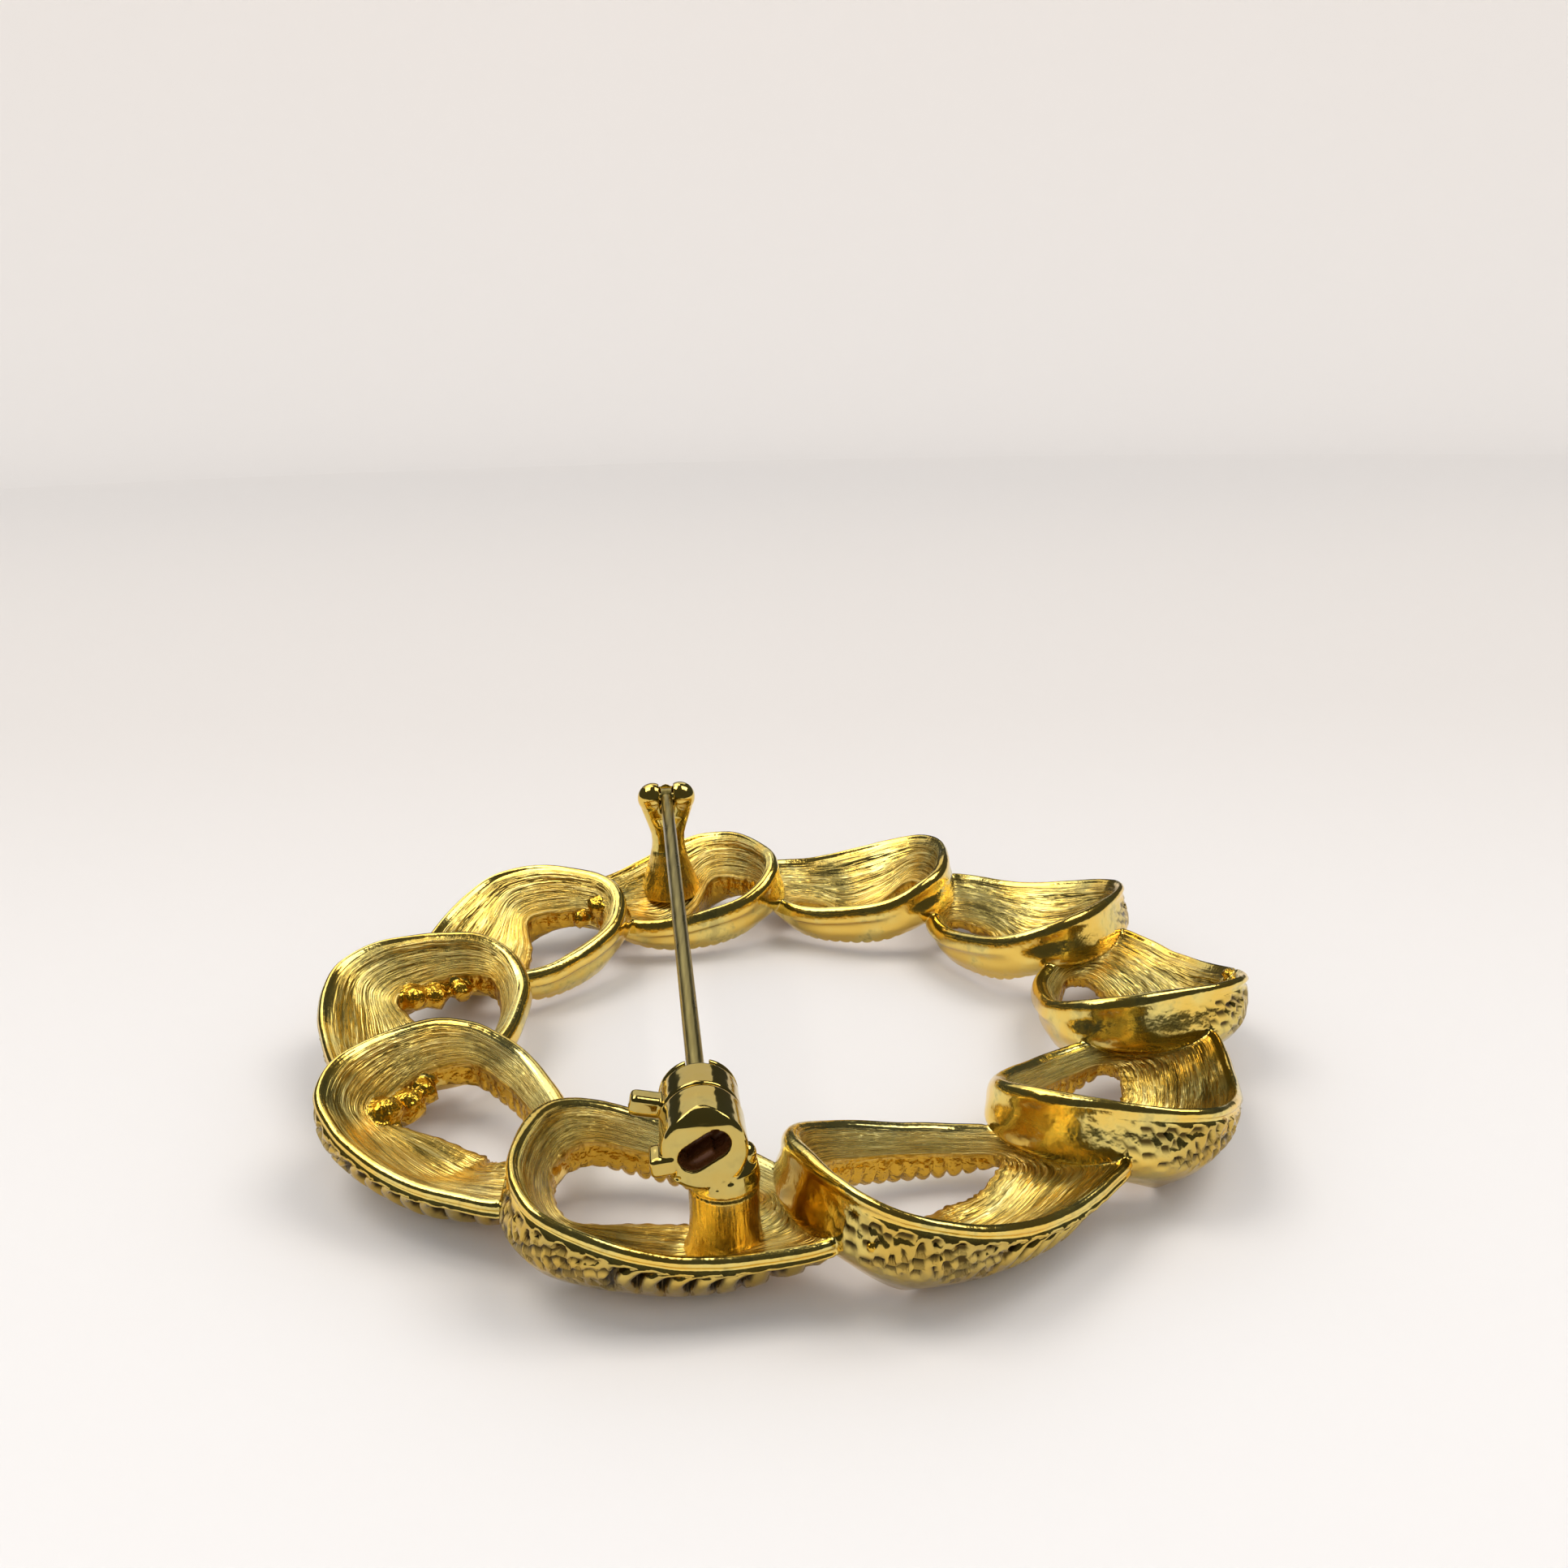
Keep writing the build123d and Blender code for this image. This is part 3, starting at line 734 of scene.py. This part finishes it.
polished_gilt = polished_gilding("polished_gilt", 0.15)
hinge_post.data.materials.append(polished_gilt)
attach(hinge_post, "frame")
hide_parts("wreath")
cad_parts["hinge_rivet"].data.materials.clear()
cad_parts["hinge_rivet"].data.materials.append(polished_gilt)

# Pin stem. Hard-drawn wire with a flat eye at the hinge and a ground point that rests in the catch. It is
# duller and browner than the casting.
pin_bronze, tree, shader = new_material("pin_bronze")
place = add_node(tree, "ShaderNodeTexCoord").outputs["Object"]
drawn = add_node(tree, "ShaderNodeMapping", {"Vector": place})
drawn.inputs["Scale"].default_value = (3500, 250, 3500)
wear = add_node(tree, "ShaderNodeTexNoise", {"Vector": drawn.outputs[0], "Scale": 1.0,
                                             "Detail": 3.0}).outputs[0]
dark_bronze, light_bronze = (0.28, 0.22, 0.065), (0.42, 0.34, 0.12)
tree.links.new(blend_colours(tree, fade(tree, wear, 0.35, 0.7), dark_bronze, light_bronze),
               shader.inputs["Base Color"])
shader.inputs["Metallic"].default_value = 1
tree.links.new(maths(tree, "ADD", 0.2, maths(tree, "MULTIPLY", wear, 0.2)), shader.inputs["Roughness"])
bump = add_node(tree, "ShaderNodeBump", {"Height": wear, "Distance": 0.02 * mm, "Strength": 1.0})
tree.links.new(bump.outputs[0], shader.inputs["Normal"])
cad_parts["pin_stem"].data.materials.clear()
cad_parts["pin_stem"].data.materials.append(pin_bronze)

# Catch. A drum on a stump is soldered to the back of the loop opposite. Its outer end is filed flat under a
# round brow and has an oblique recess, and a nub stands out on either side of it.
drum_radius, drum_length, brow_radius = 1.7, 2.4, 0.8
sleeve_length, end_lip_length, sleeve_wall = 1.65, 0.3, 0.5
catch_length = end_lip_length + sleeve_length + drum_length + 2 * side_gap
sleeve_start = -catch_length / 2 + end_lip_length + side_gap
sleeve_end = sleeve_start + sleeve_length
drum_start = sleeve_end + side_gap
drum_end = drum_start + drum_length
sleeve_outer = drum_radius - 0.06
core_radius = sleeve_outer - sleeve_wall - running_gap
mouth_half = pin_radius + side_gap
recess_length, recess_width, recess_depth, recess_tilt, recess_rise = 2.2, 1.2, 1.5, 32, 0.1
stump_radius, stump_shift, stump_overhang, nub_radius, nub_drop = 1.42, 0.75, 0.12, 0.42, 0.95


def rounded_rod(name, radius, start, end, rounding, steps=64):
    """A round bar along the pin's line with rounded rims."""
    turn = [rounding * (1 - cos(pi / 2 * k / 6)) for k in range(7)]
    rise = [rounding * sin(pi / 2 * k / 6) for k in range(7)]
    outline = [(0, start)] + [(radius - rounding + rise[k], start + turn[k]) for k in range(7)]
    outline += [(radius - rounding + rise[6 - k], end - turn[6 - k]) for k in range(7)] + [(0, end)]
    mesh = bmesh.new()
    verts = [mesh.verts.new((reach, run, 0)) for reach, run in outline]
    edges = [mesh.edges.new(pair) for pair in zip(verts, verts[1:])]
    bmesh.ops.spin(mesh, geom=verts + edges, cent=(0, 0, 0), axis=(0, 1, 0), angle=2 * pi, steps=steps,
                   use_merge=True)
    bmesh.ops.remove_doubles(mesh, verts=mesh.verts, dist=1e-4)
    bmesh.ops.recalc_face_normals(mesh, faces=mesh.faces)
    return as_object(name, mesh)


catch_housing = rounded_rod("catch_housing", drum_radius, drum_start, drum_end, 0.25)
brow = bmesh.new()
bmesh.ops.create_cube(brow, size=1, matrix=Matrix.Translation((0, drum_end - drum_length, 0))
                      @ Matrix.Diagonal((3 * drum_radius, 2 * drum_length, 2 * drum_radius, 1)))
upper_edge = [edge for edge in brow.edges
              if all(vert.co.y > drum_end - 0.01 and vert.co.z > drum_radius - 0.01 for vert in edge.verts)]
bmesh.ops.bevel(brow, geom=upper_edge, offset=brow_radius, affect="EDGES", segments=14, profile=0.5,
                material=-1)
combined(catch_housing, as_object("brow", brow), "INTERSECT")

foot = root_height - catch_height
seam = -2.12                     # the drum's saddle meets the stump in a soldered seam
stump = bmesh.new()
middle = drum_end + stump_overhang - stump_radius
stack_rings(stump, [
    (stump_radius * 1.2, stump_radius * 1.2, middle, foot),
    (stump_radius * 1.06, stump_radius * 1.06, middle, foot * 0.92),
    (stump_radius * 1.01, stump_radius * 1.01, middle, foot * 0.82),
    (stump_radius * 0.98, stump_radius * 0.98, middle, foot * 0.7),
    (stump_radius * 0.99, stump_radius * 0.99, middle, seam - 0.12),
    (stump_radius * 0.93, stump_radius * 0.93, middle, seam - 0.04),
    (stump_radius * 0.93, stump_radius * 0.93, middle, seam + 0.04),
    (stump_radius * 1.02, stump_radius * 1.02, middle, seam + 0.12),
    (stump_radius * 1.02, stump_radius * 1.01, middle, seam + 0.45),
    (stump_radius * 0.96, stump_radius * 0.96, middle - 0.03, -1.25),
    (stump_radius * 0.8, stump_radius * 0.86, middle - 0.08, -0.9),
    (stump_radius * 0.5, stump_radius * 0.6, middle - 0.1, -0.4),
], 56)
bmesh.ops.translate(stump, vec=(-stump_shift, 0, 0), verts=stump.verts)
combined(catch_housing, as_object("catch_stump", stump), "UNION")
combined(catch_housing, rounded_rod("turning_room", drum_radius + side_gap, sleeve_start, drum_start, 0.01),
         "DIFFERENCE")
left_nub_low, left_nub_high = (1.12, drum_end - 1.2, -0.68), (2.14, drum_end + 0.1, 0.08)
combined(catch_housing, block("left_nub", left_nub_low, left_nub_high, turn=6, rounding=0.16), "UNION")
right_nub_middle = (-1.65, (drum_start + drum_end) / 2, -nub_drop + 0.1)
combined(catch_housing, ball("right_nub", nub_radius, right_nub_middle, (1, 1.2, 1.1)), "UNION")


def slot_plug(name, length, width, low, high, tilt):
    """A bar with the recess's rounded outline, to be cut out of the drum's end."""
    mesh = bmesh.new()
    bmesh.ops.create_circle(mesh, cap_ends=True, radius=width / 2, segments=40)
    for vert in mesh.verts:
        vert.co.x += (length - width) / 2 * (1 if vert.co.x > 0 else -1)
    bmesh.ops.rotate(mesh, cent=(0, 0, 0), matrix=Matrix.Rotation(-pi / 2, 3, "X"), verts=mesh.verts)
    bmesh.ops.translate(mesh, vec=(0, low, 0), verts=mesh.verts)
    wall = bmesh.ops.extrude_face_region(mesh, geom=mesh.faces[:])["geom"]
    moved = [vert for vert in wall if isinstance(vert, bmesh.types.BMVert)]
    bmesh.ops.translate(mesh, vec=(0, high - low, 0), verts=moved)
    bmesh.ops.rotate(mesh, cent=(0, 0, 0), matrix=Matrix.Rotation(radians(tilt), 3, "Y"), verts=mesh.verts)
    bmesh.ops.translate(mesh, vec=(0, 0, recess_rise), verts=mesh.verts)
    bmesh.ops.recalc_face_normals(mesh, faces=mesh.faces)
    return as_object(name, mesh)


recess_floor = drum_end - recess_depth
combined(catch_housing, slot_plug("recess", recess_length, recess_width, recess_floor, drum_end + 1,
                                  recess_tilt), "DIFFERENCE")
ledge_low, ledge_high = (-0.2, recess_floor - 0.1, -0.62), (0.9, drum_end - 0.55, -0.25)
combined(catch_housing, block("ledge", ledge_low, ledge_high, turn=recess_tilt, rounding=0.06), "UNION")
for centre, radius in (((1.18, drum_end, -1.02), 0.15), ((-0.95, drum_end + 0.1, -1.35), 0.11),
                       ((-0.4, drum_end + 0.1, -1.6), 0.07)):
    combined(catch_housing, ball("pit", radius, centre, (1.5, 1, 0.8)), "DIFFERENCE")
core_start = sleeve_start - side_gap - end_lip_length
for name, radius, start, end, rounding in (
        ("core", core_radius, core_start, drum_start + 0.4, 0.02),
        ("lip", sleeve_outer, core_start, sleeve_start - side_gap, 0.12)):
    combined(catch_housing, rounded_rod(name, radius, start, end, rounding), "UNION")
combined(catch_housing, rounded_rod("channel_floor", mouth_half, sleeve_start - 1, drum_start, 0.01,
                                    steps=32), "DIFFERENCE")
combined(catch_housing, block("channel", (-mouth_half, sleeve_start - 1, 0),
                              (mouth_half, drum_start, well_past)), "DIFFERENCE")
cast_soft(catch_housing, 0.05, 3, place_at(catch_point))
catch_housing.data.materials.clear()
catch_housing.data.materials.append(polished_gilding("catch_gilt", 0.6, (
    catch_point * mm, pin_line, (recess_floor - 0.2) * mm, (drum_end - 0.06) * mm)))
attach(catch_housing, "frame")
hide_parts("wreath")

# Catch sleeve. A turned ring with a mouth for the pin and a thumb tab brazed to its side. It turns on the
# slotted core behind the drum; here its mouth is turned away, so the pin is locked in.
tab_reach, tab_width, tab_thickness, tab_sag, tab_rise, mouth_turn = 2.85, 0.9, 0.9, 0.12, 13, 100
tab_middle = (sleeve_start + sleeve_end) / 2
catch_sleeve = rounded_rod("catch_sleeve", sleeve_outer, sleeve_start, sleeve_end, 0.12)
combined(catch_sleeve, block("tab", (1.3, tab_middle - tab_width / 2, -tab_sag - tab_thickness / 2),
                             (tab_reach, tab_middle + tab_width / 2, -tab_sag + tab_thickness / 2),
                             turn=-tab_rise, rounding=0.24), "UNION")
combined(catch_sleeve, rounded_rod("bore", core_radius + running_gap, sleeve_start - 1, sleeve_end + 1,
                                   0.01), "DIFFERENCE")
combined(catch_sleeve, block("mouth", (-mouth_half, sleeve_start - 1, 0),
                             (mouth_half, sleeve_end + 1, well_past), turn=-mouth_turn), "DIFFERENCE")
cast_soft(catch_sleeve, 0.05, 2, place_at(catch_point))
catch_sleeve.data.materials.clear()
catch_sleeve.data.materials.append(polished_gilding("sleeve_gilt", 0.75))
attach(catch_sleeve, "roller")
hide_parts("catch_roller")

# Room. A round floor of pale paper that sweeps up into a wall all round, and soft boxes overhead. The
# polished metal mirrors the floor and the boxes but not the wall, as in a dark studio.
paper, tree, shader = new_material("pale_paper")
place = add_node(tree, "ShaderNodeTexCoord").outputs["Object"]
spread = add_node(tree, "ShaderNodeSeparateXYZ", {0: place})
far = add_node(tree, "ShaderNodeVectorMath", {0: add_node(tree, "ShaderNodeCombineXYZ", {
    0: spread.outputs[0], 1: spread.outputs[1]}).outputs[0]}, operation="LENGTH").outputs["Value"]
# painted shade: the paper is darker towards the back, so the floor fades into the wall
back = fade(tree, spread.outputs[1], -0.05, 0.09)
near_paper, far_paper = (0.785, 0.735, 0.70), (0.665, 0.605, 0.56)
tree.links.new(blend_colours(tree, back, near_paper, far_paper), shader.inputs["Base Color"])
shader.inputs["Roughness"].default_value = 0.9
# the paper glows away from the brooch, warm low down and cool high up: painted light that keeps the wall
# bright and lightens the shadows on the floor
high_up = fade(tree, spread.outputs[2], 0.3, 0.45)
warm_light, cool_light = (0.85, 0.80, 0.745), (0.62, 0.80, 1.0)     # the cool one keeps the shadows grey
tree.links.new(blend_colours(tree, high_up, warm_light, cool_light), shader.inputs["Emission Color"])
tree.links.new(maths(tree, "MULTIPLY", fade(tree, far, 0.1, 0.9), maths(
    tree, "ADD", 0.35, maths(tree, "MULTIPLY", high_up, 0.3))), shader.inputs["Emission Strength"])
paper.cycles.emission_sampling = "NONE"


def round_sheet(name, outline):
    """Paper turned round the upright axis from (radius, height) pairs."""
    mesh = bmesh.new()
    verts = [mesh.verts.new((radius, 0, height)) for radius, height in outline]
    edges = [mesh.edges.new(pair) for pair in zip(verts, verts[1:])]
    bmesh.ops.spin(mesh, geom=verts + edges, cent=(0, 0, 0), axis=(0, 0, 1), angle=2 * pi, steps=72,
                   use_merge=True)
    bmesh.ops.remove_doubles(mesh, verts=mesh.verts, dist=1e-5)
    bmesh.ops.recalc_face_normals(mesh, faces=mesh.faces)
    made = as_object(name, mesh)
    made.data.materials.append(paper)
    return made


floor_radius, sweep_radius, sweep_steps, wall_height = 0.6, 0.3, 12, 1.3
round_sheet("paper_floor", [(0, 0), (0.1, 0), (0.3, 0), (floor_radius, 0)])
sweep = [(floor_radius + sweep_radius * sin(pi / 2 * k / sweep_steps),
          sweep_radius * (1 - cos(pi / 2 * k / sweep_steps))) for k in range(1, sweep_steps + 1)]
wall = round_sheet("paper_wall", [(floor_radius, 0)] + sweep + [(floor_radius + sweep_radius, wall_height)])
wall.visible_glossy = False


def soft_box(name, place, size, power):
    """A square of soft light that faces the brooch."""
    light = bpy.data.lights.new(name, "AREA")
    light.shape = "RECTANGLE"
    light.size, light.size_y = size
    light.energy = power
    light.color = (1.0, 0.97, 0.915)
    made = bpy.data.objects.new(name, light)
    made.location = place
    made.rotation_euler = (-Vector(place)).to_track_quat("-Z", "Y").to_euler()
    bpy.context.scene.collection.objects.link(made)
    return made


soft_box("left_box", (-0.26, 0.05, 0.5), (0.28, 0.30), 1.1)
soft_box("right_box", (0.28, 0.06, 0.5), (0.30, 0.33), 1.2)
for box in (soft_box("back_box", (-0.10, 0.50, 0.33), (0.55, 0.26), 0.35),
            soft_box("high_box", (-0.18, 0.27, 0.45), (0.34, 0.30), 0.6)):
    box.visible_diffuse = False     # seen in the metal only
ceiling = soft_box("ceiling", (0, 0, 0.9), (1.1, 1.1), 1.2)     # lights the paper only
ceiling.visible_glossy = False

world = bpy.data.worlds.new("studio")
bpy.context.scene.world = world
world.use_nodes = True
background = world.node_tree.nodes["Background"]
background.inputs["Color"].default_value = (0.95, 1.0, 0.85, 1)
background.inputs["Strength"].default_value = 0.06
bpy.context.scene.view_settings.view_transform = "Standard"

# Camera. It stands where the photograph was taken from, a little above the floor in front of the catch,
# and leans as much; its lens was fitted to the ring's outline.
focal_pixels, photo_width = 1733, 1932
camera = bpy.data.objects.new("camera", bpy.data.cameras.new("camera"))
camera.data.sensor_width = 36
camera.data.lens = camera.data.sensor_width * focal_pixels / photo_width
camera.data.clip_start = 0.001
pitch, roll = radians(15.93), radians(-1.25)
camera.matrix_world = (Matrix.Translation((0.000441, -0.068751, 0.03462))
                       @ Matrix.Rotation(pi / 2 - pitch, 4, "X") @ Matrix.Rotation(roll, 4, "Z"))
bpy.context.scene.collection.objects.link(camera)
bpy.context.scene.camera = camera
